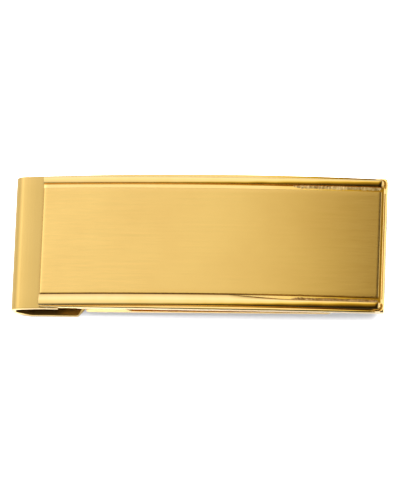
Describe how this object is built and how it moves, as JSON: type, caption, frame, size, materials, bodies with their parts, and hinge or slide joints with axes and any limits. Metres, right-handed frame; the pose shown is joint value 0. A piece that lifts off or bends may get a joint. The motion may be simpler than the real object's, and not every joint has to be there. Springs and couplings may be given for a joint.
{
  "type": "hinged money clip",
  "caption": "Bowed gold-tone money clip with a satin panel between two half-round rails, a folded spring end, and a flip lever on a hidden hinge pin.",
  "frame": {"origin": "middle of the footprint, at the height of the spring's flat underside", "axes": "+X from the folded end to the free end, +Y across the clip, +Z out of the satin face"},
  "size_m": [0.0502, 0.019, 0.0055],
  "materials": {
    "polished_gold": "gold plated, polished",
    "satin_gold": "gold plated, brushed lengthwise",
    "spring_gold": "gold plated, fine satin",
    "solder": "rough as flowed",
    "pin_steel": "drawn wire"
  },
  "bodies": {
    "clip_body": {"base_plate": "polished_gold", "upper_rail": "polished_gold", "lower_rail": "polished_gold", "brushed_panel": "satin_gold", "fold_spring": "spring_gold", "solder_seams": "solder"},
    "spring_end": {"hinge_tube": "polished_gold", "hinge_pin": "pin_steel"},
    "lever": {"clamp_arm": "polished_gold"}
  },
  "joints": [
    {"name": "spring_flex", "type": "hinge", "parent": "clip_body", "child": "spring_end", "pos_m": [-0.0238, 0, 0.0022], "axis": [0, 1, 0], "range_deg": [0, 6], "stiffness_Nm_per_rad": 0.05, "springref_deg": -28.65, "deforming": ["fold_spring"]},
    {"name": "clamp_hinge", "type": "hinge", "parent": "spring_end", "child": "lever", "pos_m": [-0.01415, 0, 0.00275], "axis": [0, 1, 0], "range_deg": [0, 90]}
  ]
}
